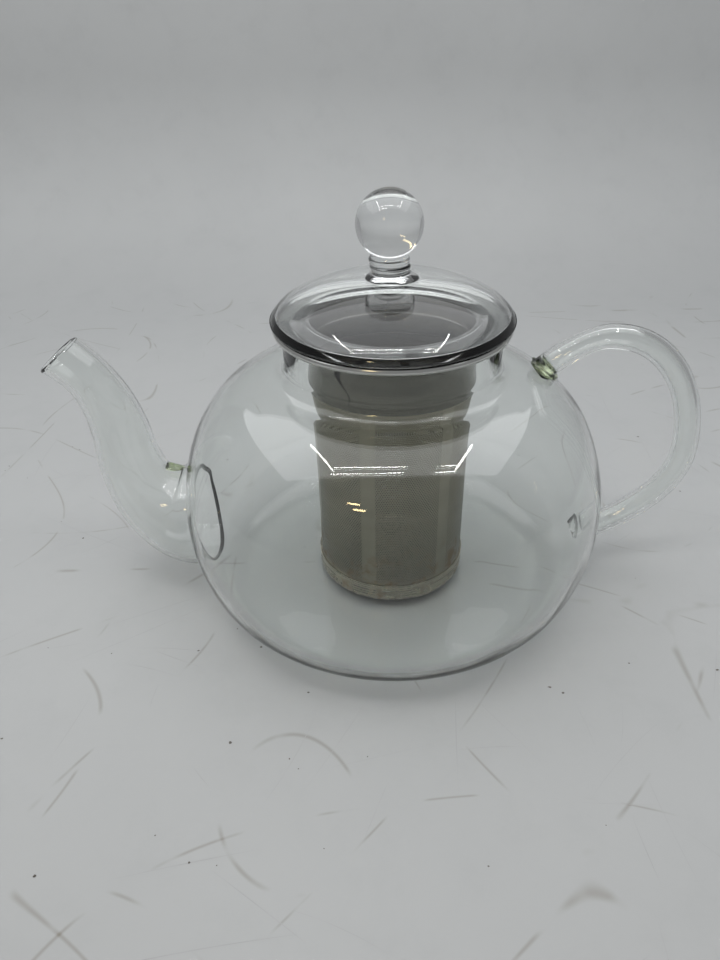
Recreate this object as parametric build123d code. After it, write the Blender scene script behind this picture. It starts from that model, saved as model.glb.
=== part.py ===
"""Glass teapot with a lift-out steel infuser and a lift-off glass lid.

Frame: millimetres, +Z up, origin at the centre of the flat base, spout towards -X, handle towards +X.
"""
from build123d import *
from math import cos, sin, radians, pi
import os

# ---- globe ----
GLOBE_R = 82.0          # widest radius of the body
BELLY_Z = 38.0          # height of the widest ring
BASE_R = 62.0           # flat foot
SHOULDER_R = 45.0       # radius where the top of the shoulder levels out
SHOULDER_H = 53.5       # rise of the shoulder above the widest ring
WALL = 2.4              # blown glass wall
FLOOR = 3.2             # glass floor
NECK_R = 39.7           # outside of the upright neck
NECK_FOOT = 92.2        # where the shoulder turns up into the neck
LIP_Z = 109.5           # top of the neck

# ---- spout: stations along the tube (x, z, outer radius, climb angle from -X) ----
SPOUT_WALL = 1.9
SPOUT_ROOT_X = -70.0
SPOUT_ROOT_Z = 29.0
SPOUT = (
    (SPOUT_ROOT_X, SPOUT_ROOT_Z, 21.0, 0.0),
    (-84.0, 29.6, 20.4, 6.0),
    (-92.5, 34.0, 17.4, 30.0),
    (-99.8, 43.5, 13.9, 58.0),
    (-103.3, 57.0, 12.0, 82.0),
    (-104.6, 70.0, 10.8, 82.0),
    (-107.6, 82.0, 9.6, 68.0),
    (-113.5, 93.0, 8.7, 54.0),
    (-122.0, 101.4, 8.9, 52.0),
)

# ---- handle: one smooth curve in the XZ plane ----
HANDLE_R = 4.9
HANDLE_BORE_R = 3.2
HANDLE_TOP = (48.0, 83.5)
HANDLE_APEX = (80.0, 103.3)
HANDLE_FAR = (116.0, 55.0)
HANDLE_END = (70.0, 13.6)

# ---- infuser ----
SHEET = 0.6             # pressed steel
MESH_SHEET = 0.3        # etched sheet
FLANGE_R = 43.0         # outside of the rolled edge
ROLL_R = 1.4            # half the height of the rolled edge
FLANGE_Z = 108.8        # underside of the rolled edge
THROAT_R = 34.4         # inner edge of the dished flange
THROAT_Z = 109.2
BAND_R = 29.9           # outside of the plain tube below the funnel
BAND_TOP = 97.0
BAND_BOTTOM = 88.0
COLLAR_R = 31.8         # outside of the skirt at its lower edge
COLLAR_BOTTOM = 92.0
COLLAR_SHEET = 0.5
SPLIT_TURN = 238.0      # where the skirt's seam stands open, degrees from +X
SPLIT_GAP = 2.6         # width of the opening at the top
MESH_R = 29.2           # outside of the perforated tube
MESH_TOP = 96.0
MESH_FOOT = 6.4
CUP_R = 29.8
CUP_TOP = 12.5
CUP_BOTTOM = 3.9
CUP_EDGE = 3.0
CUP_SHEET = 0.5

# ---- lid ----
LID_R = 43.7
LID_Z = 112.0           # underside of the lid's edge
LID_H = 15.9
LID_POWER = 1.76        # fullness of the dome curve
LID_WALL = 2.2
LID_COLLAR_R = 30.6
LID_COLLAR_WALL = 2.0
LID_COLLAR_BOTTOM = 104.0
LID_FOLD = 1.8          # thickness of the folded floor between dome and ring
STEM_R = 7.2
STEM_FOOT_R = 9.3
KNOB_R = 11.6
KNOB_Z = 145.0


def ellipse_run(r0, z0, a, b, start, end, steps=13):
    """Smooth edge along an ellipse centred at (r0, z0), between two angles in degrees."""
    turns = [radians(start + (end - start) * i / (steps - 1)) for i in range(steps)]
    ends = [(-a * sin(t), b * cos(t)) for t in (turns[0], turns[-1])]
    return Spline([(r0 + a * cos(t), z0 + b * sin(t)) for t in turns], tangents=ends)


def lathe(*edges):
    """Solid of revolution about Z from a closed run of edges drawn as (radius, height)."""
    return revolve(Rot(90, 0, 0) * make_face(Wire(edges)), Axis.Z)


def polyline(*points):
    """Open run of straight edges through (radius, height) points."""
    return Polyline(points).edges()


def globe_solid(wall, floor):
    """Globe and neck as a filled shape, drawn in from the outside by the wall and floor given."""
    neck = NECK_R - wall
    blend_z = BELLY_Z + SHOULDER_H + SHOULDER_R - NECK_R
    blend = SHOULDER_R - neck
    lower = ellipse_run(BASE_R, BELLY_Z, GLOBE_R - BASE_R - wall, BELLY_Z - floor, -90, 0)
    upper = ellipse_run(SHOULDER_R, BELLY_Z, GLOBE_R - SHOULDER_R - wall, SHOULDER_H - wall, 0, 90)
    into_neck = RadiusArc((SHOULDER_R, blend_z - blend), (neck, blend_z), blend)
    top = polyline((neck, blend_z), (neck, LIP_Z), (0, LIP_Z), (0, floor), (BASE_R, floor))
    return lathe(lower, upper, into_neck, *top)


def spout_solid(shrink):
    """Filled spout through all its stations, thinner by the amount given."""
    sections = []
    for x, z, radius, climb in SPOUT:
        lean = radians(climb)
        plane = Plane(origin=(x, 0, z), x_dir=(0, 1, 0), z_dir=(-cos(lean), 0, sin(lean)))
        sections.append(plane * Circle(radius - shrink))
    return loft(sections)


def glass_shell(keep):
    """Blown globe and neck, kept below or above the foot of the neck."""
    shell = globe_solid(0, 0) - globe_solid(WALL, FLOOR)
    return split(shell, bisect_by=Plane.XY.offset(NECK_FOOT), keep=keep)


def glass_body():
    """Globe up to the top of its shoulder, with the hole that feeds the spout."""
    return glass_shell(Keep.BOTTOM) - spout_solid(SPOUT_WALL)


def glass_neck():
    """Upright neck with a rounded lip."""
    neck = glass_shell(Keep.TOP)
    lip = neck.edges().filter_by(GeomType.CIRCLE).group_by(Axis.Z)[-1]
    return fillet(lip, WALL / 2 - 0.05)


def spout():
    """Hollow tapered tube, trimmed to sit on the globe."""
    tube = spout_solid(0) - spout_solid(SPOUT_WALL)
    mouth = tube.faces().filter_by(GeomType.PLANE).sort_by(Axis.X)[0].edges()
    tube = fillet(mouth, SPOUT_WALL / 2 - 0.1)
    return tube - globe_solid(0, 0)


def spout_weld():
    """Lump of fused glass in the crotch above the spout's root."""
    lump = Pos(-88.3, 0, 51.4) * Rot(0, 40, 0) * scale(Sphere(1), by=(4.2, 6.5, 1.9))
    return lump - spout_solid(0) - globe_solid(0, 0)


def handle_path():
    """Centre line of the handle as three joined curves."""
    x0, z0 = HANDLE_TOP
    x1, z1 = HANDLE_APEX
    x2, z2 = HANDLE_FAR
    x3, z3 = HANDLE_END
    rise = Bezier((x0, 0, z0), (x0 + 11, 0, z0 + 11), (x1 - 10, 0, z1), (x1, 0, z1))
    bow = Bezier((x1, 0, z1), (x1 + 21, 0, z1), (x2, 0, z2 + 26), (x2, 0, z2))
    back = Bezier((x2, 0, z2), (x2, 0, z2 - 20), (x3 + 22, 0, z3 + 5.9), (x3, 0, z3))
    return Wire([rise, bow, back])


def handle():
    """C-shaped glass tube, trimmed to the globe at both ends."""
    path = handle_path()
    start = Plane(origin=path @ 0, x_dir=(0, 1, 0), z_dir=path % 0)
    tube = sweep(start * Circle(HANDLE_R), path=path) - sweep(start * Circle(HANDLE_BORE_R), path=path)
    return tube - globe_solid(0, 0)


def handle_weld(x, z, lean, thickness):
    """Ring of fused glass around one end of the handle; lean is the tube's angle above +X."""
    a = radians(lean)
    seat = Plane(origin=(x, 0, z), x_dir=(0, 1, 0), z_dir=(cos(a), 0, sin(a)))
    ring = seat * (Torus(HANDLE_R + 0.3, thickness) - Cylinder(HANDLE_R - 0.02, 6 * thickness))
    return ring - globe_solid(0, 0)


def pressed_ring():
    """Whole pressing: dished flange, throat, funnel and plain tube."""
    roll_r = FLANGE_R - ROLL_R
    roll_z = FLANGE_Z + ROLL_R
    top = roll_z + ROLL_R
    inner = (BAND_R - SHEET, BAND_TOP)
    outer = (BAND_R, BAND_TOP - 0.2)
    return lathe(
        *polyline((BAND_R, BAND_BOTTOM), (BAND_R - SHEET, BAND_BOTTOM), inner),
        Spline([inner, (32.4, 104.5), (THROAT_R, THROAT_Z), (roll_r, top)], tangents=[(0, 1), (1, 0)]),
        *polyline((roll_r, top), (roll_r, top - SHEET)),
        Spline([(roll_r, top - SHEET), (THROAT_R + 0.25, THROAT_Z - SHEET), (33.0, 104.2), outer],
               tangents=[(-1, 0), (0, -1)]),
        *polyline(outer, (BAND_R, BAND_BOTTOM)),
    )


def throat_space():
    """Everything inside the throat's radius."""
    return Pos(0, 0, BAND_BOTTOM - 1) * Cylinder(THROAT_R, 40, align=(Align.CENTER, Align.CENTER, Align.MIN))


def infuser_flange():
    """Dished flange with its rolled edge."""
    rolled = Pos(0, 0, FLANGE_Z + ROLL_R) * Torus(FLANGE_R - ROLL_R, ROLL_R)
    return pressed_ring() - throat_space() + rolled


def infuser_funnel():
    """Funnel below the throat and the plain tube that the strainer hangs from."""
    return pressed_ring() & throat_space()


def infuser_collar():
    """Skirt below the flange, rolled from strip, with its seam standing open at the top."""
    top_r = 34.1
    top_z = 105.5
    low_in = COLLAR_R - COLLAR_SHEET
    top_in = top_r - COLLAR_SHEET
    skirt = lathe(
        *polyline((low_in, COLLAR_BOTTOM), (COLLAR_R, COLLAR_BOTTOM)),
        Spline([(COLLAR_R, COLLAR_BOTTOM), (COLLAR_R + 0.3, 98.5), (top_r, top_z)]),
        *polyline((top_r, top_z), (top_in, top_z)),
        Spline([(top_in, top_z), (low_in + 0.3, 98.5), (low_in, COLLAR_BOTTOM)]),
    )
    height = top_z - COLLAR_BOTTOM
    half = SPLIT_GAP / 2
    wedge = make_face(Polyline((-half, height), (half, height), (half * 0.35, height * 0.55),
                               (half * 0.9, height * 0.2), (half * 0.7, height * 0.2),
                               (-half * 0.5, height * 0.55), close=True))
    cut = Plane(origin=(0, 0, COLLAR_BOTTOM), x_dir=(0, 1, 0), z_dir=(1, 0, 0)) * wedge
    return skirt - Rot(0, 0, SPLIT_TURN) * extrude(cut, amount=40)


def infuser_wall():
    """Rolled tube of thin sheet that carries the strainer holes."""
    height = MESH_TOP - MESH_FOOT
    outside = Cylinder(MESH_R, height, align=(Align.CENTER, Align.CENTER, Align.MIN))
    inside = Cylinder(MESH_R - MESH_SHEET, height, align=(Align.CENTER, Align.CENTER, Align.MIN))
    return Pos(0, 0, MESH_FOOT) * (outside - inside)


def cup_solid(inset):
    """Filled cup with a rounded lower edge, drawn in by the inset."""
    radius = CUP_R - inset
    foot = CUP_BOTTOM + inset
    edge = CUP_EDGE - inset
    return lathe(
        *polyline((radius, foot + edge), (radius, CUP_TOP), (0, CUP_TOP), (0, foot), (radius - edge, foot)),
        RadiusArc((radius - edge, foot), (radius, foot + edge), -edge),
    )


def infuser_cup():
    """Plain pressed base of the infuser."""
    return cup_solid(0) - cup_solid(CUP_SHEET)


def dome_run(radius, rise, steps=17):
    """Smooth edge from the lid's edge up to the axis."""
    turns = [pi / 2 * i / (steps - 1) for i in range(steps)]
    power = 2 / LID_POWER
    points = [(radius * max(cos(t), 0) ** power, LID_Z + rise * sin(t) ** power) for t in turns]
    points[-1] = (0, LID_Z + rise)
    return Spline(points)


def dome_solid(inset):
    """Space under the dome curve, drawn in by the inset."""
    radius = LID_R - inset
    rise = LID_H - inset
    return lathe(dome_run(radius, rise), *polyline((0, LID_Z + rise), (0, LID_Z), (radius, LID_Z)))


def lid_dome():
    """Low glass dome with a rounded edge."""
    shell = dome_solid(0) - dome_solid(LID_WALL)
    rim = shell.edges().filter_by(GeomType.CIRCLE).sort_by(lambda edge: edge.radius)[-1]
    return fillet(rim, 0.7)


def lid_collar():
    """Glass floor folded inward from the dome's edge and down into a ring that centres the lid."""
    inner = LID_COLLAR_R - LID_COLLAR_WALL
    low = LID_COLLAR_BOTTOM + LID_COLLAR_WALL / 2
    top = LID_Z + LID_FOLD
    fold = lathe(
        *polyline((LID_R, LID_Z), (LID_COLLAR_R + 1.5, LID_Z)),
        RadiusArc((LID_COLLAR_R + 1.5, LID_Z), (LID_COLLAR_R, LID_Z - 1.5), -1.5),
        *polyline((LID_COLLAR_R, LID_Z - 1.5), (LID_COLLAR_R, low)),
        RadiusArc((LID_COLLAR_R, low), (inner, low), LID_COLLAR_WALL / 2),
        *polyline((inner, low), (inner, top - 2.5)),
        RadiusArc((inner, top - 2.5), (inner + 2.5, top), 2.5),
        *polyline((inner + 2.5, top), (LID_R, top), (LID_R, LID_Z)),
    )
    above = Pos(0, 0, LID_Z) * Cylinder(LID_R + 1, LID_H * 2, align=(Align.CENTER, Align.CENTER, Align.MIN))
    return fold - (above - dome_solid(LID_WALL))


def lid_stem():
    """Short waisted neck with two rings between dome and ball."""
    foot = LID_Z + LID_H - 2
    stem = lathe(
        *polyline((STEM_R - 2.4, KNOB_Z - 9), (0, KNOB_Z - 9), (0, foot), (STEM_FOOT_R, foot)),
        Spline([(STEM_FOOT_R, foot), (STEM_FOOT_R - 1, foot + 2), (STEM_R - 1, foot + 3.5),
                (STEM_R, foot + 4.9), (STEM_R - 0.8, foot + 6.1), (STEM_R, foot + 7.3),
                (STEM_R - 1, KNOB_Z - 9.9), (STEM_R - 2.4, KNOB_Z - 9)]),
    )
    return stem - dome_solid(0) - lid_knob()


def lid_knob():
    """Solid glass ball."""
    return Pos(0, 0, KNOB_Z) * Sphere(KNOB_R)


def main():
    nodes = {
        "glass_body": glass_body(),
        "glass_neck": glass_neck(),
        "spout": spout(),
        "spout_weld": spout_weld(),
        "handle": handle(),
        "handle_weld_top": handle_weld(56.6, 91.6, 40, 2.0),
        "handle_weld_bottom": handle_weld(79.8, 16.9, 18, 2.4),
        "infuser_flange": infuser_flange(),
        "infuser_funnel": infuser_funnel(),
        "infuser_collar": infuser_collar(),
        "infuser_wall": infuser_wall(),
        "infuser_cup": infuser_cup(),
        "lid_dome": lid_dome(),
        "lid_collar": lid_collar(),
        "lid_stem": lid_stem(),
        "lid_knob": lid_knob(),
    }
    os.makedirs("parts", exist_ok=True)
    for name, solid in nodes.items():
        export_step(solid, f"parts/{name}.step")
        print(name, solid.is_valid, round(solid.volume, 1), solid.bounding_box())


main()
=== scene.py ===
# %% [markdown]
# # Glass teapot with a lift-out steel infuser
# The pot is blown borosilicate glass: a round body with an upright neck, a tapered spout and a loop
# handle made from tube, all fused on in the flame. A pressed steel infuser hangs by its rolled flange
# from the neck, and a blown lid with a ball knob drops into the infuser's throat.
#
# Every piece is built at rest in metres and in the same frame as the solid model: +Z up, the foot at
# zero, spout towards -X, handle towards +X. Sizes are written in millimetres and scaled once.

# %% start from the fixed frame
import math
import random

import bmesh
import bpy
from mathutils import Matrix, Vector, noise


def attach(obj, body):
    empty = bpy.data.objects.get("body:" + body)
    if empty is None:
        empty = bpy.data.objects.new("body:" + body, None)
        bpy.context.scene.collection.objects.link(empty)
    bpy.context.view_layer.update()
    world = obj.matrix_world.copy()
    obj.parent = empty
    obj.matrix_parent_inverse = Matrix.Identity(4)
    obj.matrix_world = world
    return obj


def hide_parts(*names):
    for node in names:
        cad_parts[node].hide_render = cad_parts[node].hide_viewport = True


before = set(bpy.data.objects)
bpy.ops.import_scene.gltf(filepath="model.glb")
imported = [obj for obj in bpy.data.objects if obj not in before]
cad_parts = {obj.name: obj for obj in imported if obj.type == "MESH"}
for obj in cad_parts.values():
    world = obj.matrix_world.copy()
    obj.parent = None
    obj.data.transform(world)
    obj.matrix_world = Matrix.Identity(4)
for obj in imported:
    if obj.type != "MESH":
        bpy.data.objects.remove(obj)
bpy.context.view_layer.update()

MM = 0.001
TAU = 2 * math.pi

# %% [markdown]
# ## Shader sums as plain expressions
# Stains, brushing and smudges are mixtures of noise. Wrapping a node socket so that + - * / and **
# build Math nodes keeps each finish readable as a formula.

# %% socket wrapper
class Val:
    """A shader value that can be written in ordinary sums."""

    def __init__(self, tree, socket):
        self.tree = tree
        self.socket = socket

    def plug(self, target, value):
        if isinstance(value, Val):
            self.tree.links.new(value.socket, target)
        else:
            target.default_value = value

    def maths(self, how, a, b=0.0, c=0.0, clamp=False):
        n = self.tree.nodes.new("ShaderNodeMath")
        n.operation = how
        n.use_clamp = clamp
        for target, value in zip(n.inputs, (a, b, c)):
            self.plug(target, value)
        return Val(self.tree, n.outputs[0])

    def __add__(self, o): return self.maths("ADD", self, o)
    def __radd__(self, o): return self.maths("ADD", o, self)
    def __sub__(self, o): return self.maths("SUBTRACT", self, o)
    def __rsub__(self, o): return self.maths("SUBTRACT", o, self)
    def __mul__(self, o): return self.maths("MULTIPLY", self, o)
    def __rmul__(self, o): return self.maths("MULTIPLY", o, self)
    def __truediv__(self, o): return self.maths("DIVIDE", self, o)
    def __pow__(self, o): return self.maths("POWER", self, o)

    def step(self, low, high):
        """0 below low, 1 above high, smooth between."""
        n = self.tree.nodes.new("ShaderNodeMapRange")
        n.interpolation_type = "SMOOTHSTEP"
        n.inputs["From Min"].default_value = low
        n.inputs["From Max"].default_value = high
        self.plug(n.inputs["Value"], self)
        return Val(self.tree, n.outputs["Result"])

    def cap_at(self, o): return self.maths("MINIMUM", self, o)


class Finish:
    """One material with its Principled shader and the noises it is mixed from."""

    def __init__(self, name, **constants):
        self.material = bpy.data.materials.new(name)
        self.material.use_nodes = True
        self.tree = self.material.node_tree
        self.shader = self.tree.nodes["Principled BSDF"]
        self.output = self.tree.nodes["Material Output"]
        for key, value in constants.items():
            self.shader.inputs[key.replace("_", " ")].default_value = value
        self.place = self.node("ShaderNodeTexCoord").outputs["Object"]

    def node(self, kind, settings=None, **inputs):
        n = self.tree.nodes.new(kind)
        for key, value in (settings or {}).items():
            setattr(n, key, value)
        for key, value in inputs.items():
            self.join(n.inputs[key.replace("_", " ")], value)
        return n

    def join(self, target, value):
        if isinstance(value, Val):
            value = value.socket
        if isinstance(value, bpy.types.NodeSocket):
            self.tree.links.new(value, target)
        else:
            target.default_value = value

    def val(self, socket): return Val(self.tree, socket)

    def at(self, stretch=(1, 1, 1), shift=(0, 0, 0)):
        """Object position, stretched then shifted."""
        m = self.node("ShaderNodeVectorMath", {"operation": "MULTIPLY"})
        self.join(m.inputs[0], self.place)
        self.join(m.inputs[1], stretch)
        a = self.node("ShaderNodeVectorMath", {"operation": "ADD"})
        self.join(a.inputs[0], m.outputs[0])
        self.join(a.inputs[1], shift)
        return a.outputs[0]

    def noise(self, scale, detail=3.0, rough=0.55, where=None):
        n = self.node("ShaderNodeTexNoise", Scale=scale, Detail=detail, Roughness=rough)
        self.join(n.inputs["Vector"], where or self.place)
        return self.val(n.outputs["Fac"])

    def axes(self):
        n = self.node("ShaderNodeSeparateXYZ")
        self.join(n.inputs[0], self.place)
        return [self.val(s) for s in n.outputs]

    def rings(self, scale, detail=2.0, z_scale=None):
        """Noise that changes only with radius and height: the mark a spinning tool leaves."""
        x, y, z = self.axes()
        r = (x * x + y * y) ** 0.5
        n = self.node("ShaderNodeCombineXYZ", X=r, Y=z * ((z_scale or scale) / scale), Z=0.0)
        return self.noise(scale, detail, where=n.outputs[0])

    def blend(self, factor, a, b):
        n = self.node("ShaderNodeMix", {"data_type": "RGBA"})
        self.join(n.inputs[0], factor)
        self.join(n.inputs[6], a)
        self.join(n.inputs[7], b)
        return n.outputs[2]

    def set(self, **inputs):
        for key, value in inputs.items():
            self.join(self.shader.inputs[key.replace("_", " ")], value)
        return self

    def relief(self, height, depth_mm, strength=1.0):
        n = self.node("ShaderNodeBump", Strength=strength, Distance=depth_mm * MM)
        self.join(n.inputs["Height"], height)
        self.join(self.shader.inputs["Normal"], n.outputs["Normal"])
        return self


def rgb(r, g, b): return (r, g, b, 1.0)


print("shader helpers ready")

# %% [markdown]
# ## Glass
# Borosilicate glass is nearly colourless with a refractive index of about 1.47. Blown walls are never
# quite even, so a faint slow ripple bends what is seen through them. Handling leaves a light film: a
# few soft patches where the surface is a little less sharp.

# %% glass finishes
def glass(name, tint, ripple_mm, film):
    f = Finish(name, Transmission_Weight=1.0, IOR=1.47)
    patches = f.noise(38, 4, 0.6).step(0.56, 0.78)
    dust = f.noise(900, 1, 0.5).step(0.70, 0.80)
    wear = patches * film + dust * (film * 0.6)
    f.set(Base_Color=f.blend(patches * 0.5, rgb(*tint), rgb(*[c * 0.985 for c in tint])), Roughness=wear)
    return f.relief(f.noise(26, 2, 0.45), ripple_mm).material


clear_glass = glass("Clear blown glass", (0.978, 0.992, 0.982), 0.25, 0.030)
tube_glass = glass("Clear drawn glass tube", (0.985, 0.995, 0.990), 0.08, 0.020)
lid_glass = glass("Clear lid glass", (0.985, 0.993, 0.993), 0.12, 0.015)

weld = Finish("Fused glass with green tint", Transmission_Weight=1.0, IOR=1.50)
streak = weld.noise(420, 3, 0.6)
high = weld.axes()[2].step(0.03, 0.045)
green = weld.blend(streak.step(0.35, 0.7), rgb(0.42, 0.50, 0.28), rgb(0.80, 0.86, 0.68))
weld.set(Base_Color=weld.blend(high, rgb(0.96, 0.98, 0.96), green), Roughness=streak * 0.12 + 0.02)
weld_glass = weld.relief(streak, 0.3).material
print("glass finishes:", clear_glass.name, tube_glass.name, lid_glass.name, weld_glass.name)

# %% [markdown]
# ## Steel
# The flange and cup are spun, so fine rings run round them. The strainer sheet is etched and duller.
# Tea leaves brown stains near the foot, thickest where water stands after use.
# Faces turned inward and the funnel behind the skirt's split get painted shade, and the flange top is
# painted lighter.

# %% steel finishes
def steel(name, dark, light, rough_low, rough_span, stain_top_mm, stain, inner_shade=0.0, painted_light_above=0.0):
    """Painted shade on faces that don't look outward, and optionally a top band painted lighter above a
    given height.
    """
    f = Finish(name, Metallic=1.0)
    fine = f.rings(2600, 2)
    broad = f.rings(220, 2)
    cloud = f.noise(60, 4, 0.6)
    x, y, z = f.axes()
    r = (x * x + y * y) ** 0.5
    base = f.blend(broad * 0.6 + cloud * 0.4, rgb(*dark), rgb(*light))
    if painted_light_above:
        # Painted light: above the given height the flange top is painted a lighter steel, while its
        # roughness stays that of the rest.
        painted_lit_top = f.blend(broad, rgb(0.56, 0.56, 0.54), rgb(0.70, 0.70, 0.68))
        base = f.blend((z / MM).step(painted_light_above, painted_light_above + 3), base, painted_lit_top)
        # Painted shadow: the funnel's outer face behind the skirt is painted near-black, so the skirt's open
        # split reads dark.
        h = (z / MM - 92.0) / 13.5
        behind = (30.9 + h * 0.35 + h * h * h * 1.95 - r / MM).step(0.0, 0.3) * (z / MM).step(90.5, 91.5)
        base = f.blend(behind, base, rgb(0.012, 0.012, 0.012))
    # Painted shade: faces turned away from the outside are blended towards near-black, standing in for the
    # shade inside the tube and its holes.
    if inner_shade:
        split = f.node("ShaderNodeSeparateXYZ", Vector=f.node("ShaderNodeNewGeometry").outputs["Normal"])
        nx, ny = f.val(split.outputs["X"]), f.val(split.outputs["Y"])
        outward = (nx * x + ny * y) / r
        shade = (1.0 - outward.step(-0.2, 0.7)) * inner_shade
        if painted_light_above:
            shade = shade * (1.0 - (z / MM).step(painted_light_above + 0.5, painted_light_above + 2.5))
        base = f.blend(shade, base, rgb(0.035, 0.03, 0.022))
    low = 1.0 - (z / (stain_top_mm * MM)).step(0.35, 1.0)
    spots = f.noise(150, 5, 0.65).step(0.50, 0.66)
    mark = (low * spots * stain).cap_at(1.0)
    f.set(Base_Color=f.blend(mark, base, rgb(0.20, 0.12, 0.05)),
          Roughness=fine * rough_span + rough_low + mark * 0.3,
          Metallic=1.0 - mark * 0.7)
    return f.relief(fine, 0.02, 0.35).material


pressed_steel = steel("Spun stainless steel", (0.11, 0.108, 0.09), (0.20, 0.197, 0.168), 0.10, 0.12, 1, 0.0,
                      inner_shade=0.8, painted_light_above=107.5)
etched_steel = steel("Etched stainless sheet", (0.25, 0.238, 0.185), (0.35, 0.335, 0.265),
                     0.24, 0.16, 34, 0.8, inner_shade=0.9)
cup_steel = steel("Pressed steel with tea stains", (0.34, 0.32, 0.25), (0.48, 0.45, 0.36),
                  0.20, 0.14, 14, 0.9)
print("steel finishes:", pressed_steel.name, etched_steel.name, cup_steel.name)

# %% [markdown]
# ## Turned shapes
# Almost everything here is a turned or tube shape. One function sweeps an outline, given as radius and
# height, round the axis. An outline that starts and ends on the axis, or a closed loop, gives a closed
# skin with shared vertices at the seam and one vertex at each pole.

# %% mesh makers
def piece(name, verts, faces, material, body, nodes, slot, smooth=True):
    """Mesh in millimetres, faces turned outward, riding on its body and standing for solid nodes."""
    mesh = bpy.data.meshes.new(name)
    mesh.from_pydata([tuple(c * MM for c in v) for v in verts], [], faces)
    bm = bmesh.new()
    bm.from_mesh(mesh)
    bmesh.ops.recalc_face_normals(bm, faces=bm.faces)
    bm.to_mesh(mesh)
    bm.free()
    return mount(name, mesh, material, body, nodes, smooth)


def mount(name, mesh, material, body, nodes, smooth=True):
    obj = bpy.data.objects.new(name, mesh)
    bpy.context.scene.collection.objects.link(obj)
    mesh.materials.clear()
    mesh.materials.append(material)
    for poly in mesh.polygons:
        poly.use_smooth = smooth
    if smooth:
        mesh.set_sharp_from_angle(angle=math.radians(38))
    if body:
        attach(obj, body)
    if nodes:
        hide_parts(*nodes)
    return obj


def turned(outline, turns, loop=False):
    """Vertices and faces of an outline of (radius, height) swept round Z."""
    verts, rows = [], []
    for r, z in outline:
        if r < 1e-6:
            rows.append([len(verts)] * turns)
            verts.append((0.0, 0.0, z))
        else:
            rows.append([len(verts) + k for k in range(turns)])
            verts += [(r * math.cos(TAU * k / turns), r * math.sin(TAU * k / turns), z)
                      for k in range(turns)]
    faces = []
    pairs = list(zip(rows, rows[1:])) + ([(rows[-1], rows[0])] if loop else [])
    for a, b in pairs:
        for k in range(turns):
            j = (k + 1) % turns
            face = [a[k], a[j], b[j], b[k]]
            face = [v for i, v in enumerate(face) if v not in face[:i]]
            if len(face) > 2:
                faces.append(face)
    return verts, faces


def arc(cx, cy, rx, ry, start, end, steps):
    """Points of an ellipse arc, angles in degrees."""
    turns = [math.radians(start + (end - start) * i / steps) for i in range(steps + 1)]
    return [(cx + rx * math.cos(t), cy + ry * math.sin(t)) for t in turns]


def curve(points, steps):
    """Smooth Catmull-Rom run through points of any dimension."""
    pts = [points[0]] + list(points) + [points[-1]]
    out = []
    for p0, p1, p2, p3 in zip(pts, pts[1:], pts[2:], pts[3:]):
        for i in range(steps):
            t = i / steps
            out.append(tuple(0.5 * (2 * b + (c - a) * t + (2 * a - 5 * b + 4 * c - d) * t * t
                                    + (3 * b - a - 3 * c + d) * t ** 3)
                             for a, b, c, d in zip(p0, p1, p2, p3)))
    return out + [tuple(points[-1])]


def ribbon(line, thick):
    """Closed outline of a sheet that follows a line, half its thickness to each side."""
    left, right = [], []
    for i, (r, z) in enumerate(line):
        a, b = line[max(i - 1, 0)], line[min(i + 1, len(line) - 1)]
        dr, dz = b[0] - a[0], b[1] - a[1]
        n = math.hypot(dr, dz)
        left.append((r - dz / n * thick / 2, z + dr / n * thick / 2))
        right.append((r + dz / n * thick / 2, z - dr / n * thick / 2))
    return left + right[::-1]


def combine(obj, other, how):
    """Joins other to obj or takes it away, and leaves a plain mesh."""
    m = obj.modifiers.new("combine", "BOOLEAN")
    m.operation, m.solver, m.object = how, "EXACT", other
    made = bpy.data.meshes.new_from_object(obj.evaluated_get(bpy.context.evaluated_depsgraph_get()))
    obj.modifiers.remove(m)
    obj.data = made
    return obj


def tool(name, verts, faces):
    """A shape used only for cutting."""
    return piece(name, verts, faces, clear_glass, None, None, None)


def discard(*objs):
    for o in objs:
        bpy.data.objects.remove(o)


# %% [markdown]
# ## Globe and neck
# Blown in one piece: two quarter ellipses meet at the widest ring, the shoulder runs out level and turns
# up into the neck through a hollow curve, and the lip is fire-polished round. The foot is pushed up a
# little in the middle so the pot stands on a ring.

# %% glass body
GLOBE_R, BELLY, FOOT_R = 82.0, 38.0, 62.0
SHOULDER_R, RISE, NECK_R, LIP = 45.0, 53.5, 39.7, 109.5
WALL, FLOOR = 2.4, 3.2


def globe_outline(inset, floor):
    """From the widest ring up to the lip, drawn in from the outside."""
    neck = NECK_R - inset
    blend = SHOULDER_R - neck
    low = arc(FOOT_R, BELLY, GLOBE_R - FOOT_R - inset, BELLY - floor, -90, 0, 26)
    high = arc(SHOULDER_R, BELLY, GLOBE_R - SHOULDER_R - inset, RISE - inset, 0, 90, 34)
    bend_z = BELLY + RISE + SHOULDER_R - NECK_R
    bend = arc(SHOULDER_R, bend_z, blend, blend, 270, 180, 12)
    return low + high[1:] + bend[1:]


def uneven(verts, amount, size):
    """Slow blown-glass waviness, zero at the foot and the lip."""
    out = []
    for x, y, z in verts:
        r = math.hypot(x, y)
        keep = min(1.0, max(0.0, (z - 4) / 12), max(0.0, (104 - z) / 8)) if r > 1 else 0
        push = -abs(noise.noise(Vector((x, y, z)) / size)) * amount * keep
        out.append((x + x / max(r, 1) * push, y + y / max(r, 1) * push, z))
    return out


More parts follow.
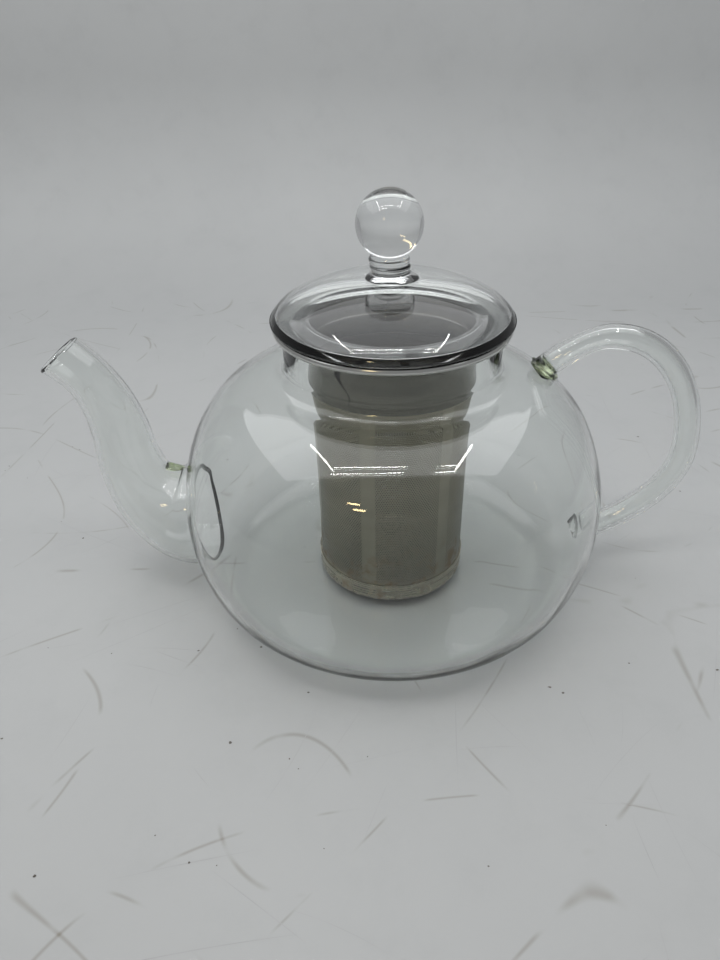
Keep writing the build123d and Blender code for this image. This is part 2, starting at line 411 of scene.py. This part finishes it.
outer = globe_outline(0, 0)
inner = globe_outline(WALL, FLOOR)
foot = [(0, 0.9), (20, 0.85), (40, 0.6), (52, 0.2), (57, 0.02)]
lip = arc(NECK_R - WALL / 2, LIP - WALL / 2, WALL / 2, WALL / 2, 0, 90, 6)
inner_lip = arc(NECK_R - WALL / 2, LIP - WALL / 2, WALL / 2, WALL / 2, 180, 90, 6)
full = tool("globe_full", *turned(foot + outer + lip + [(0, LIP)], 208))
hollow_outline = [(0, FLOOR + 0.4), (20, FLOOR + 0.35), (40, FLOOR + 0.15)] + inner + inner_lip[:-1]
hollow_outline += [(NECK_R - WALL / 2, LIP + 1), (0, LIP + 1)]
hollow = tool("globe_hollow", *turned(hollow_outline, 208))
for shape in (full, hollow):
    for v in shape.data.vertices:
        v.co = Vector(uneven([tuple(v.co / MM)], 0.35, 34)[0]) * MM
print("globe outline points", len(foot + outer + lip), len(hollow_outline))

# %% [markdown]
# ## Spout
# Drawn from tube: wide where it is sealed to the globe, narrowing through an S curve to a slanted mouth
# with a thin rounded lip. Each station gives place, outside radius and climb; a smooth run between them
# carries both the outer and the bore surface.

# %% spout
SPOUT_WALL = 1.9
LIP_BACK = 0.5           # how far the fire-rounded lip is drawn back along the spout
STATIONS = [(-70, 29, 21.0, 0), (-84, 29.6, 20.4, 6), (-92.5, 34, 17.4, 30), (-99.8, 43.5, 13.9, 58),
            (-103.3, 57, 12.0, 82), (-104.6, 70, 10.8, 82), (-107.6, 82, 9.6, 68), (-113.5, 93, 8.7, 54),
            (-122.0, 101.4, 8.9, 52)]


def spout_ring(x, z, radius, climb, turns):
    lean = math.radians(climb)
    up = (math.sin(lean), 0.0, math.cos(lean))
    ring = []
    for k in range(turns):
        a = TAU * k / turns
        rise = radius * math.cos(a)
        ring.append((x + up[0] * rise, radius * math.sin(a), z + up[2] * rise))
    return ring


def stack(rings, loop=False, cap=False):
    """Faces between rings of equal length."""
    n = len(rings[0])
    verts = [v for ring in rings for v in ring]
    faces = []
    for i in range(len(rings) - (0 if loop else 1)):
        a, b = i * n, ((i + 1) % len(rings)) * n
        faces += [[a + k, a + (k + 1) % n, b + (k + 1) % n, b + k] for k in range(n)]
    if cap:
        faces += [list(range(n)), list(range(len(verts) - n, len(verts)))]
    return verts, faces


def spout_rings(shrink, turns=72):
    return [spout_ring(x, z, r - shrink, c, turns) for x, z, r, c in curve(STATIONS, 12)]


def mouth_ring(t):
    """Rounded lip: t runs from 0 on the outside to 180 on the bore side."""
    x, z, r, climb = STATIONS[-1]
    half = SPOUT_WALL / 2
    lean = math.radians(climb)
    out = half * math.sin(math.radians(t)) - half - LIP_BACK
    return spout_ring(x - math.cos(lean) * out, z + math.sin(lean) * out,
                      r - half + half * math.cos(math.radians(t)), climb, 72)


bore = spout_rings(SPOUT_WALL)[:-2] + [mouth_ring(t) for t in (180, 150, 120)]
ahead = Vector((-math.cos(math.radians(STATIONS[-1][3])), 0, math.sin(math.radians(STATIONS[-1][3]))))
bore.append([tuple(Vector(v) + ahead * 1.5) for v in mouth_ring(110)])
tube = spout_rings(0)[:-2] + [mouth_ring(t) for t in (0, 30, 60, 90)]
spout_full = tool("spout_full", *stack(tube, cap=True))
spout_hollow = tool("spout_hollow", *stack(bore, cap=True))

# %% [markdown]
# ## Handle
# One length of tube bent into a loop, sealed at the shoulder and low on the belly. It is a little
# thinner over the top, where it was stretched while hot, and both ends are closed and rounded.

# %% handle
HANDLE = [((48.0, 83.5), (59.0, 94.5), (70.0, 103.3), (80.0, 103.3)),
          ((80.0, 103.3), (101.0, 103.3), (116.0, 81.0), (116.0, 55.0)),
          ((116.0, 55.0), (116.0, 35.0), (92.0, 19.5), (70.0, 13.6))]
TUBE_R, TUBE_BORE = 4.85, 3.15


def bezier(p, t):
    s = 1 - t
    return tuple(s ** 3 * a + 3 * s * s * t * b + 3 * s * t * t * c + t ** 3 * d for a, b, c, d in zip(*p))


def globe_radius(z):
    if z < BELLY:
        return FOOT_R + (GLOBE_R - FOOT_R) * math.sqrt(max(0, 1 - ((BELLY - z) / BELLY) ** 2))
    return SHOULDER_R + (GLOBE_R - SHOULDER_R) * math.sqrt(max(0, 1 - ((z - BELLY) / RISE) ** 2))


def on_loop(gap):
    """Centre line of the handle from just off the shoulder to just off the belly."""
    line = [bezier(p, i / 40) for p in HANDLE for i in range(40)] + [HANDLE[-1][3]]
    return [(x, z) for x, z in line if x > (globe_radius(z) if z < 91.4 else NECK_R) + gap or z > 94]


def loop_ring(line, i, radius, slide=0.0, turns=40):
    a, b = line[max(i - 1, 0)], line[min(i + 1, len(line) - 1)]
    n = math.hypot(b[0] - a[0], b[1] - a[1])
    dx, dz = (b[0] - a[0]) / n, (b[1] - a[1]) / n
    x, z = line[i][0] + dx * slide, line[i][1] + dz * slide
    return [(x - dz * radius * math.cos(TAU * k / turns), radius * math.sin(TAU * k / turns),
             z + dx * radius * math.cos(TAU * k / turns)) for k in range(turns)]


def tube_radius(i, count, full_r):
    """Thinner near the apex, back to full size lower down."""
    u = i / (count - 1)
    return full_r - 0.45 * math.exp(-((u - 0.18) / 0.16) ** 2)


def closed_tube(line, full_r, draw_in):
    """Rings of a tube with rounded closed ends."""
    n = len(line)
    rings = [loop_ring(line, i, tube_radius(i, n, full_r)) for i in range(n)]
    start, end = [], []
    for t in range(15, 90, 15):
        k, s = math.cos(math.radians(t)), math.sin(math.radians(t)) * draw_in
        start.insert(0, loop_ring(line, 0, tube_radius(0, n, full_r) * k, -s))
        end.append(loop_ring(line, n - 1, tube_radius(n - 1, n, full_r) * k, s))
    return start + rings + end


line = on_loop(-0.9)
handle_skin = tool("handle_skin", *stack(closed_tube(line, TUBE_R, 0.5), cap=True))
handle_bore = tool("handle_bore", *stack(closed_tube(line[5:-4], TUBE_BORE, 2.0), cap=True))
print("handle from", [round(c, 1) for c in line[0]], "to", [round(c, 1) for c in line[-1]])

# %% [markdown]
# ## Fusing the pot
# In the flame globe, spout and handle become one piece of glass, so no surface is left inside the
# joints. The three outer shapes are joined, then the room inside the globe and both bores are taken out.

# %% fuse globe, spout and handle
seat = tool("bead_seat", *turned([(0, -0.05)] + [(r + 0.05, z) for r, z in outer]
                                 + [(NECK_R + 0.05, LIP), (0, LIP)], 208))
combine(full, spout_full, "UNION")
combine(full, handle_skin, "UNION")
for space in (hollow, spout_hollow, handle_bore):
    combine(full, space, "DIFFERENCE")
pot = mount("glass_pot", full.data, clear_glass, "pot", ["glass_body", "glass_neck", "spout", "handle"])
discard(full, hollow, spout_full, spout_hollow, handle_skin, handle_bore)
print("pot faces", len(pot.data.polygons))

# %% [markdown]
# ## Fused beads
# Where tube was sealed to the hot body the glass picked up a green tint and froze as small uneven
# lumps: a thin seam along the top of the spout's root with a blob in the bend, a flat slab on the
# shoulder under the handle, and a clear pad low down.

# %% beads
def bead(centre, half, lean, seed, rough=0.16):
    """Uneven flattened lump; lean turns it about Y in degrees."""
    rows, turns = 20, 36
    c, s = math.cos(math.radians(lean)), math.sin(math.radians(lean))
    verts, faces = turned([(math.sin(math.pi * i / rows), -math.cos(math.pi * i / rows))
                           for i in range(rows + 1)], turns)
    out = []
    for v in verts:
        k = 1 + rough * noise.noise(Vector(v) * 1.7 + Vector((seed, 0, 0)))
        x, y, z = (a * b * k for a, b in zip(v, half))
        out.append((centre[0] + c * x + s * z, centre[1] + y, centre[2] - s * x + c * z))
    return out, faces


spout_space = tool("spout_space", *stack(spout_rings(-0.05), cap=True))
for name, node, shape in (
        ("shoulder_bead", "handle_weld_top", bead((56.6, 0, 90.8), (6.4, 5.4, 1.9), 34, 3)),
        ("belly_pad", "handle_weld_bottom", bead((80.6, 0, 17.2), (1.0, 5.6, 5.6), -6, 9, 0.06)),
        ("spout_bead", "spout_weld", bead((-87.6, 0, 52.0), (5.2, 2.6, 0.7), 10, 5, 0.2))):
    lump = piece(name, *shape, weld_glass, "pot", [node], "weld_glass")
    combine(lump, seat, "DIFFERENCE")
    combine(lump, spout_space, "DIFFERENCE")
    print(name, "faces", len(lump.data.polygons))
discard(seat, spout_space)

# %% [markdown]
# ## Infuser ring
# Pressed from sheet: a rolled outer edge, a dished flange, a rounded throat and a funnel that closes to
# the plain tube. One centre line with the sheet's thickness to each side gives the whole section.

# %% infuser flange
SHEET = 0.6
flange_line = [(29.6, 88.0), (29.6, 93.0), (29.62, 97.0)]
flange_line += curve([(29.62, 97.0), (30.5, 100.6), (32.7, 105.0), (34.5, 108.5), (37.6, 110.4),
                      (41.3, 111.25)], 7)[1:]
flange_line += arc(41.55, 110.2, 1.08, 1.08, 88, -150, 16)
ring = piece("infuser_ring", *turned(ribbon(flange_line, SHEET), 176, loop=True),
             pressed_steel, "infuser", ["infuser_flange", "infuser_funnel"], "pressed_steel")
print("flange faces", len(ring.data.polygons))

# %% [markdown]
# The skirt under the flange is a rolled strip. Its seam has let go at the top and stands open as a dark
# wedge that runs out into a crooked hairline.
# The dark inside of the wedge is painted shadow on the funnel face behind it.

# %% infuser skirt
SPLIT = math.radians(238)


def skirt():
    turns, rows = 170, 14
    verts, faces = [], []
    for side in (0, 1):
        for j in range(rows + 1):
            h = j / rows
            z = 92.0 + 13.5 * h
            r = 31.8 + 0.35 * h + 1.95 * h ** 3 - side * 0.5
            gap = (0.16 + 2.9 * max(0.0, h - 0.30) ** 1.6) / r
            wander = (1.1 - 3.2 * h + 1.2 * math.sin(h * 7)) / r
            for k in range(turns + 1):
                a = SPLIT + wander + gap + (TAU - 2 * gap) * k / turns
                verts.append((r * math.cos(a), r * math.sin(a), z))
    n, half = turns + 1, (turns + 1) * (rows + 1)
    for j in range(rows):
        for k in range(turns):
            a = j * n + k
            faces.append([a, a + 1, a + n + 1, a + n])
            faces.append([half + a, half + a + n, half + a + n + 1, half + a + 1])
    for k in range(turns):
        for j, flip in ((0, False), (rows, True)):
            a = j * n + k
            f = [a, half + a, half + a + 1, a + 1]
            faces.append(f[::-1] if flip else f)
    for j in range(rows):
        for k in (0, turns):
            a = j * n + k
            faces.append([a, a + n, half + a + n, half + a])
    return verts, faces


collar = piece("infuser_skirt", *skirt(), pressed_steel, "infuser", ["infuser_collar"], "pressed_steel")
print("skirt faces", len(collar.data.polygons))

# %% [markdown]
# ## Strainer sheet
# The tube is rolled from thin sheet etched with staggered holes. The etching stops at plain upright
# strips and at a plain band top and bottom. A Geometry Nodes tree lays out one panel: a flat grid of
# points, every other row shifted by half a pitch, one drilled cell on each point, then the whole sheet
# bent to the tube's radius. Six turned panels with plain strips between them complete the tube.

# %% one drilled cell
MESH_R, MESH_SHEET = 29.2, 0.3
PITCH, ROW, HOLE = 0.90, 0.80, 0.27
PANELS, STRIP = 6, 4.4
LOW, HIGH = 13.2, 87.0


def drilled_cell():
    """Flat cell with a six-sided hole right through; X along the sheet, Y up it, Z out of it."""
    verts, faces = [], []
    edge = [(0.5, 0.5), (0, 0.5), (-0.5, 0.5), (-0.5, -0.5), (0, -0.5), (0.5, -0.5)]
    hole = [(math.cos(math.radians(a)), math.sin(math.radians(a))) for a in (30, 90, 150, 210, 270, 330)]
    for z in (0.0, -MESH_SHEET):
        verts += [(x * PITCH, y * ROW, z) for x, y in edge] + [(x * HOLE, y * HOLE, z) for x, y in hole]
    for k in range(6):
        j = (k + 1) % 6
        faces.append([k, j, 6 + j, 6 + k])
        faces.append([12 + j, 12 + k, 18 + k, 18 + j])
        faces.append([6 + k, 6 + j, 18 + j, 18 + k])
    mesh = bpy.data.meshes.new("drilled_cell")
    mesh.from_pydata([tuple(c * MM for c in v) for v in verts], [], faces)
    obj = bpy.data.objects.new("drilled_cell", mesh)
    bpy.context.scene.collection.objects.link(obj)
    return obj


cell = drilled_cell()
print("cell", len(cell.data.polygons), "faces")

# %% panel tree
def panel_tree():
    tree = bpy.data.node_groups.new("Etched panel", "GeometryNodeTree")
    face = tree.interface
    face.new_socket("Cell", in_out="INPUT", socket_type="NodeSocketObject")
    for name in ("Pitch", "Row height", "Tube radius", "Panel width", "Lower edge", "Upper edge", "Turn"):
        face.new_socket(name, in_out="INPUT", socket_type="NodeSocketFloat")
    face.new_socket("Sheet material", in_out="INPUT", socket_type="NodeSocketMaterial")
    face.new_socket("Geometry", in_out="OUTPUT", socket_type="NodeSocketGeometry")
    given = tree.nodes.new("NodeGroupInput").outputs
    v = {s.name: Val(tree, s) for s in given if s.name}

    def node(kind, settings=None, **inputs):
        n = tree.nodes.new(kind)
        for key, value in (settings or {}).items():
            setattr(n, key, value)
        for key, value in inputs.items():
            target = n.inputs[key.replace("_", " ")]
            if isinstance(value, Val):
                value = value.socket
            if isinstance(value, bpy.types.NodeSocket):
                tree.links.new(value, target)
            else:
                target.default_value = value
        return n

    def whole(x):
        return x.maths("FLOOR", x)

    columns = whole(v["Panel width"] / v["Pitch"])
    rows = whole((v["Upper edge"] - v["Lower edge"]) / v["Row height"])
    grid = node("GeometryNodeMeshGrid", Size_X=(columns - 1) * v["Pitch"],
                Size_Y=(rows - 1) * v["Row height"], Vertices_X=columns, Vertices_Y=rows)
    at = node("ShaderNodeSeparateXYZ", Vector=node("GeometryNodeInputPosition").outputs[0])
    row_number = whole(Val(tree, at.outputs[1]) / v["Row height"] + 500.25)
    odd = row_number.maths("MODULO", row_number, 2.0)
    shift = node("ShaderNodeCombineXYZ", X=(odd - 0.5) * v["Pitch"] * 0.5)
    staggered = node("GeometryNodeSetPosition", Geometry=grid.outputs["Mesh"], Offset=shift.outputs[0])
    holes = node("GeometryNodeInstanceOnPoints", Points=staggered.outputs[0],
                 Instance=node("GeometryNodeObjectInfo", Object=v["Cell"]).outputs["Geometry"])
    flat = node("GeometryNodeRealizeInstances", Geometry=holes.outputs[0])
    p = node("ShaderNodeSeparateXYZ", Vector=node("GeometryNodeInputPosition").outputs[0])
    x, y, z = (Val(tree, s) for s in p.outputs)
    angle = x / v["Tube radius"] + v["Turn"]
    reach = z + v["Tube radius"]
    bent = node("ShaderNodeCombineXYZ", X=reach * angle.maths("COSINE", angle),
                Y=reach * angle.maths("SINE", angle), Z=y + (v["Upper edge"] + v["Lower edge"]) * 0.5)
    rolled = node("GeometryNodeSetPosition", Geometry=flat.outputs[0], Position=bent.outputs[0])
    coat = node("GeometryNodeSetMaterial", Geometry=rolled.outputs[0], Material=v["Sheet material"])
    out = tree.nodes.new("NodeGroupOutput")
    tree.links.new(coat.outputs[0], out.inputs[0])
    return tree


tree = panel_tree()
sockets = {s.name: s.identifier for s in tree.interface.items_tree if s.in_out == "INPUT"}
share = TAU * MESH_R / PANELS
settings = {"Cell": cell, "Pitch": PITCH * MM, "Row height": ROW * MM, "Tube radius": MESH_R * MM,
            "Panel width": (share - STRIP) * MM, "Lower edge": LOW * MM, "Upper edge": HIGH * MM,
            "Sheet material": etched_steel}
for i in range(PANELS):
    holder = bpy.data.objects.new("panel_maker", bpy.data.meshes.new("panel_maker"))
    bpy.context.scene.collection.objects.link(holder)
    maker = holder.modifiers.new("Etched panel", "NODES")
    maker.node_group = tree
    for name, value in settings.items():
        maker[sockets[name]] = value
    maker[sockets["Turn"]] = math.radians(280 + 60 * i)
    holder.update_tag()
    sheet = bpy.data.meshes.new_from_object(holder.evaluated_get(bpy.context.evaluated_depsgraph_get()))
    mount(f"strainer_panel_{i + 1}", sheet, etched_steel, "infuser", ["infuser_wall"] if i == 0 else [],
          smooth=False)
    discard(holder)
    print("panel", i + 1, "faces", len(sheet.polygons))
discard(cell)

# %% [markdown]
# The plain strips and bands are the same sheet left undrilled, so they sit at the same radius, a hair
# under the drilled cells where the two meet.

# %% plain sheet between the panels
def sheet_patch(r, a0, a1, z0, z1, steps):
    """Thin curved plate between two angles and two heights."""
    verts, faces = [], []
    for rr in (r, r - MESH_SHEET + 0.04):
        for z in (z0, z1):
            turns = [a0 + (a1 - a0) * k / steps for k in range(steps + 1)]
            verts += [(rr * math.cos(a), rr * math.sin(a), z) for a in turns]
    n = steps + 1
    for k in range(steps):
        faces += [[k, k + 1, n + k + 1, n + k], [2 * n + k, 3 * n + k, 3 * n + k + 1, 2 * n + k + 1],
                  [k, 2 * n + k, 2 * n + k + 1, k + 1], [n + k, n + k + 1, 3 * n + k + 1, 3 * n + k]]
    faces += [[0, n, 3 * n, 2 * n], [n - 1, 3 * n - 1, 4 * n - 1, 2 * n - 1]]
    return verts, faces


plain_v, plain_f = [], []
for i in range(PANELS):
    middle = math.radians(280 + 60 * i + 30)
    v, f = sheet_patch(MESH_R - 0.02, middle - (STRIP / 2 + PITCH * 0.7) / MESH_R,
                       middle + (STRIP / 2 + PITCH * 0.7) / MESH_R, LOW - 0.4, HIGH + 0.4, 8)
    plain_f += [[k + len(plain_v) for k in face] for face in f]
    plain_v += v
piece("strainer_strips", plain_v, plain_f, etched_steel, "infuser", [], "etched_steel")
for name, low, high in (("strainer_top_band", HIGH - 0.5, 96.0), ("strainer_low_band", 6.4, LOW + 0.4)):
    outer, inner = MESH_R - 0.02, MESH_R - 0.28
    band = [(outer, low), (outer, high), (inner, high), (inner, low)]
    piece(name, *turned(band, 160, loop=True), etched_steel, "infuser", [], "etched_steel")
print("plain strips", PANELS)

# %% [markdown]
# ## Base cup
# A shallow plain pressing closes the tube. Its side grips the sheet and its lower edge is rounded.

# %% cup
cup_line = ([(0.0, 4.15), (12, 4.15), (20, 4.12)] + arc(26.8, 6.9, 2.75, 2.75, 270, 360, 8)
            + [(29.55, 9.5), (29.55, 12.5)])


def shell(line, thick):
    """Closed outline of a sheet whose line starts on the axis."""
    both = ribbon(line, thick)
    n = len(line)
    left, right = both[:n], both[n:]
    left[0], right[-1] = (0.0, left[0][1]), (0.0, right[-1][1])
    return left + right


cup = piece("infuser_base_cup", *turned(shell(cup_line, 0.5), 160), cup_steel, "infuser", ["infuser_cup"],
            "stained_steel")
print("cup faces", len(cup.data.polygons))

# %% [markdown]
# ## Lid
# Dome, centring ring, stem and ball are one fused piece of glass, so they share one skin: light then
# passes from ball to stem to dome without false inner surfaces, as it does in the real lid.

# %% lid
LID_R, LID_Z, LID_RISE, FULL, LID_WALL = 43.6, 112.0, 15.9, 1.76, 2.2
KNOB_R, KNOB_Z = 11.58, 145.0
KNOB_SIDE = 1.2          # the hand-set ball stands a little towards the spout


def dome(inset, start, end, steps):
    """Dome curve from the edge (0) to the axis (90)."""
    out = []
    for i in range(steps + 1):
        t = math.radians(start + (end - start) * i / steps)
        out.append(((LID_R - inset) * math.cos(t) ** (2 / FULL),
                    LID_Z + (LID_RISE - inset) * math.sin(t) ** (2 / FULL)))
    return out


def dome_at(inset, radius):
    """Height of the dome curve at a radius."""
    u = radius / (LID_R - inset)
    return LID_Z + (LID_RISE - inset) * (1 - u ** FULL) ** (1 / FULL)


ball = arc(0, KNOB_Z, KNOB_R, KNOB_R, 90, -57, 44)
ball[0] = (0.0, KNOB_Z + KNOB_R)
stem = curve([ball[-1], (6.75, 134.3), (7.15, 133.2), (6.8, 132.0), (7.15, 130.9), (6.75, 129.6),
              (7.1, 128.6), (9.2, dome_at(0, 9.2))], 6)
skin = [p for p in dome(0, 4, 86, 46)[::-1] if p[0] > 9.8]
edge = arc(LID_R - 1.1, LID_Z + 0.95, 1.1, 0.95, 10, -90, 8)
COLLAR, COLLAR_LOW, FOLD = 30.6, 104.0, 1.8
bend_out = arc(COLLAR + 1.5, LID_Z - 1.5, 1.5, 1.5, 90, 180, 6)
low_edge = arc(COLLAR - 1, COLLAR_LOW + 1, 1.0, 1.0, 0, -180, 10)
bend_in = arc(COLLAR + 1, LID_Z + FOLD - 3, 3, 3, 180, 90, 8)
cavity = arc(40.3, LID_Z + FOLD + 0.5, 0.5, 0.5, 270, 360, 4)
under = [p for p in dome(LID_WALL, 4, 90, 60) if p[0] < 40.7]
lid_outline = (ball + stem[1:] + skin + edge + bend_out + low_edge + bend_in + cavity + under[:-1]
               + [(0.0, LID_Z + LID_RISE - LID_WALL)])
verts, faces = turned(lid_outline, 176)
verts = [(x - KNOB_SIDE * min(1.0, max(0.0, (z - LID_Z - LID_RISE + 1) / 5)), y, z) for x, y, z in verts]
lid = piece("glass_lid", verts, faces, lid_glass, "lid",
            ["lid_dome", "lid_collar", "lid_stem", "lid_knob"], "lid_glass")
print("lid outline points", len(lid_outline), "faces", len(lid.data.polygons))

# %% [markdown]
# ## Stage
# A plain light tent: one sheet of matt white board makes the floor and sweeps up into the back wall, with
# white sides and an open front. The floor has had a lot of use, so it carries hairline scuffs and specks.
# The walls are only painted on the inside, so the object can be seen from behind too.

# The flat floor is also painted a shade darker than the rising back, as painted shade.
# %% light tent
def one_sided(name, dark, light, scuffs_and_floor_shade):
    f = Finish(name, Roughness=0.75)
    cloud = f.noise(7, 4, 0.6)
    grime = f.noise(42, 5, 0.7).step(0.45, 0.8) * (0.5 if scuffs_and_floor_shade else 0.15)
    paint = f.blend((cloud * 0.7 + grime * 0.5).cap_at(1.0), rgb(*light), rgb(*dark))
    if scuffs_and_floor_shade:
        hairs = 0.0
        height = f.axes()[2] / MM
        for i, (scale, thin) in enumerate(((2.4, 0.006), (3.3, 0.009), (4.6, 0.013), (6.5, 0.018))):
            wave = f.noise(scale, 0.0, 0.5, where=f.at(shift=(i * 3.1, i * 1.7, 0)))
            line = wave.maths("PINGPONG", wave * 6.0, 0.5)
            broken = f.noise(34, 2, 0.5, where=f.at(shift=(i, 0, i))).step(0.50, 0.60)
            hairs = (1.0 - line.step(0.0, thin)) * broken * 0.45 + hairs
        hairs = hairs * (1.0 - height.step(1.0, 4.0))
        # Painted shade: the flat floor and the foot of the sweep are blended towards grey, darker than the
        # upright back.
        painted_floor_shade = (1.0 - height.step(-10.0, 60.0)) * 0.30
        paint = f.blend(painted_floor_shade, paint, rgb(0.27, 0.275, 0.28))
        paint = f.blend(hairs.cap_at(1.0), paint, rgb(0.22, 0.20, 0.17))
    f.set(Base_Color=paint)
    clear = f.node("ShaderNodeBsdfTransparent")
    mix = f.node("ShaderNodeMixShader")
    f.join(mix.inputs[0], f.node("ShaderNodeNewGeometry").outputs["Backfacing"])
    f.join(mix.inputs[1], f.shader.outputs[0])
    f.join(mix.inputs[2], clear.outputs[0])
    f.join(f.output.inputs["Surface"], mix.outputs[0])
    return f.material


def sheet_of(name, verts, faces, material, smooth=True):
    mesh = bpy.data.meshes.new(name)
    mesh.from_pydata([tuple(c * MM for c in v) for v in verts], [], faces)
    mesh.materials.append(material)
    for poly in mesh.polygons:
        poly.use_smooth = smooth
    obj = bpy.data.objects.new(name, mesh)
    bpy.context.scene.collection.objects.link(obj)
    return obj


board = one_sided("Matt white board", (0.44, 0.448, 0.452), (0.53, 0.538, 0.54), True)
wall = one_sided("White fabric side", (0.58, 0.58, 0.585), (0.66, 0.66, 0.665), False)
SIDE, BACK, TOP, FRONT = 410.0, 300.0, 520.0, -620.0
sweep = [(FRONT, 0.0), (-200, 0.0), (0, 0.0), (BACK, 0.0)]
sweep += arc(BACK, 150, 150, 150, 270, 360, 16)[1:] + [(BACK + 150, TOP)]
verts = [(x, y, z - 0.03) for y, z in sweep for x in (-SIDE, SIDE)]
faces = [[2 * i, 2 * i + 1, 2 * i + 3, 2 * i + 2] for i in range(len(sweep) - 1)]
sheet_of("board_sweep", verts, faces, board)
for name, x in (("side_left", -SIDE), ("side_right", SIDE)):
    verts = [(x, FRONT + 200, 0), (x, BACK + 150, 0), (x, BACK + 150, TOP), (x, FRONT + 200, TOP)]
    sheet_of(name, verts, [[0, 1, 2, 3] if x > 0 else [3, 2, 1, 0]], wall, smooth=False)
print("sweep rises at", BACK, "mm behind the pot")

# %% [markdown]
# Scuffs are thin arcs and specks are tiny flakes lying on the board.

# %% scuffs and specks
mark_paint = Finish("Grey scuff mark", Roughness=0.7)
mark_paint.set(Base_Color=mark_paint.blend(mark_paint.noise(70, 3),
                                           rgb(0.33, 0.33, 0.34), rgb(0.47, 0.47, 0.48)))
speck_paint = Finish("Dark speck", Roughness=0.8)
speck_paint.set(Base_Color=speck_paint.blend(speck_paint.noise(300, 2),
                                             rgb(0.05, 0.045, 0.04), rgb(0.2, 0.18, 0.16)))
rand = random.Random(41)
verts, faces = [], []
for _ in range(150):
    x, y = rand.uniform(-190, 190), rand.uniform(-190, 130)
    way, bend = rand.uniform(0, TAU), rand.uniform(-0.03, 0.03)
    length, width = rand.uniform(8, 60), rand.uniform(0.05, 0.16)
    steps = 10
    start = len(verts)
    for i in range(steps + 1):
        w = width * math.sin(math.pi * (i + 0.3) / (steps + 0.6))
        for side in (-w, w):
            verts.append((x - math.sin(way) * side, y + math.cos(way) * side, 0.0))
        x, y, way = x + math.cos(way) * length / steps, y + math.sin(way) * length / steps, way + bend
    faces += [[start + 2 * i, start + 2 * i + 1, start + 2 * i + 3, start + 2 * i + 2] for i in range(steps)]
sheet_of("scuffs", verts, faces, mark_paint.material)
verts, faces = [], []
for _ in range(60):
    x, y, r = rand.uniform(-210, 210), rand.uniform(-160, 110), rand.choice([0.25, 0.3, 0.4, 0.4, 0.6])
    start = len(verts)
    verts += [(x + r * rand.uniform(0.5, 1.4) * math.cos(TAU * k / 6),
               y + r * rand.uniform(0.5, 1.2) * math.sin(TAU * k / 6), 0.06) for k in range(6)]
    faces.append(list(range(start, start + 6)))
sheet_of("specks", verts, faces, speck_paint.material)
print("marks on the board done")

# %% [markdown]
# ## Light
# Rows of bright LED strip run round the open top of the box, and a pair of warm room lamps stands
# beyond the open front. The room itself is dim.

# %% lights
def strip(name, centre, size, watts, colour=(1.0, 0.99, 0.97), aim=None):
    data = bpy.data.lights.new(name, "AREA")
    data.shape = "RECTANGLE"
    data.size, data.size_y = size[0] * MM, size[1] * MM
    data.energy = watts
    data.color = colour
    obj = bpy.data.objects.new(name, data)
    obj.location = tuple(c * MM for c in centre)
    if aim:
        obj.rotation_euler = (Vector(aim) - Vector(centre)).to_track_quat("-Z", "Y").to_euler()
    bpy.context.scene.collection.objects.link(obj)
    return obj


CEILING, GLOW = 500.0, 0.7
for name, y, x0, x1 in (("strip_near_left", -174, -235, 35), ("strip_near_right", -174, 136, 228),
                        ("strip_far_left", -118, -214, 49), ("strip_far_right", -118, 136, 215)):
    strip(name, ((x0 + x1) / 2, y, CEILING), (x1 - x0, 5), GLOW * (x1 - x0) / 1000)
for name, x, y0, y1 in (("strip_side_left", -216, -141, 94), ("strip_side_right", 212, -156, 81)):
    strip(name, (x, (y0 + y1) / 2, CEILING), (8, y1 - y0), GLOW * (y1 - y0) / 1000)
for name, y in (("lamp_near", -512), ("lamp_far", -621)):
    strip(name, (-240, y, 500), (70, 22), 0.10, (1.0, 0.78, 0.42), aim=(0, 0, 80))
strip("soft_top", (-60, 230, 560), (1200, 900), 4.3, (0.97, 0.99, 1.0))
world = bpy.data.worlds.new("Dim room")
bpy.context.scene.world = world
world.use_nodes = True
world.node_tree.nodes["Background"].inputs["Color"].default_value = rgb(0.27, 0.275, 0.28)
world.node_tree.nodes["Background"].inputs["Strength"].default_value = 1.0
bpy.context.scene.view_settings.view_transform = "Standard"
bpy.context.scene.cycles.blur_glossy = 0.0
print("lights", len(bpy.data.lights))

# %% [markdown]
# ## Camera
# Hand-held a little above the lid and looking down at about a third of a right angle, wide lens.

# %% camera
def aim_camera(place, down, yaw, roll, lens):
    data = bpy.data.cameras.new("front_camera")
    data.sensor_width, data.lens = 36.0, lens
    obj = bpy.data.objects.new("front_camera", data)
    p, y, r = (math.radians(a) for a in (down, yaw, roll))
    ahead = Vector((math.sin(y) * math.cos(p), math.cos(y) * math.cos(p), -math.sin(p)))
    right = Vector((math.cos(y), -math.sin(y), 0))
    up = right.cross(ahead)
    side = math.cos(r) * right + math.sin(r) * up
    top = math.cos(r) * up - math.sin(r) * right
    turn = Matrix((side, top, -ahead)).transposed().to_4x4()
    obj.matrix_world = Matrix.Translation(Vector(place) * MM) @ turn
    bpy.context.scene.collection.objects.link(obj)
    bpy.context.scene.camera = obj
    return obj


camera = aim_camera((-14.14, -263.63, 213.84), 32.854, 0.339, -1.048, 29.14)
camera.data.clip_start = 0.01
camera.data.clip_end = 20
print("camera", [round(c, 3) for c in camera.matrix_world.translation])
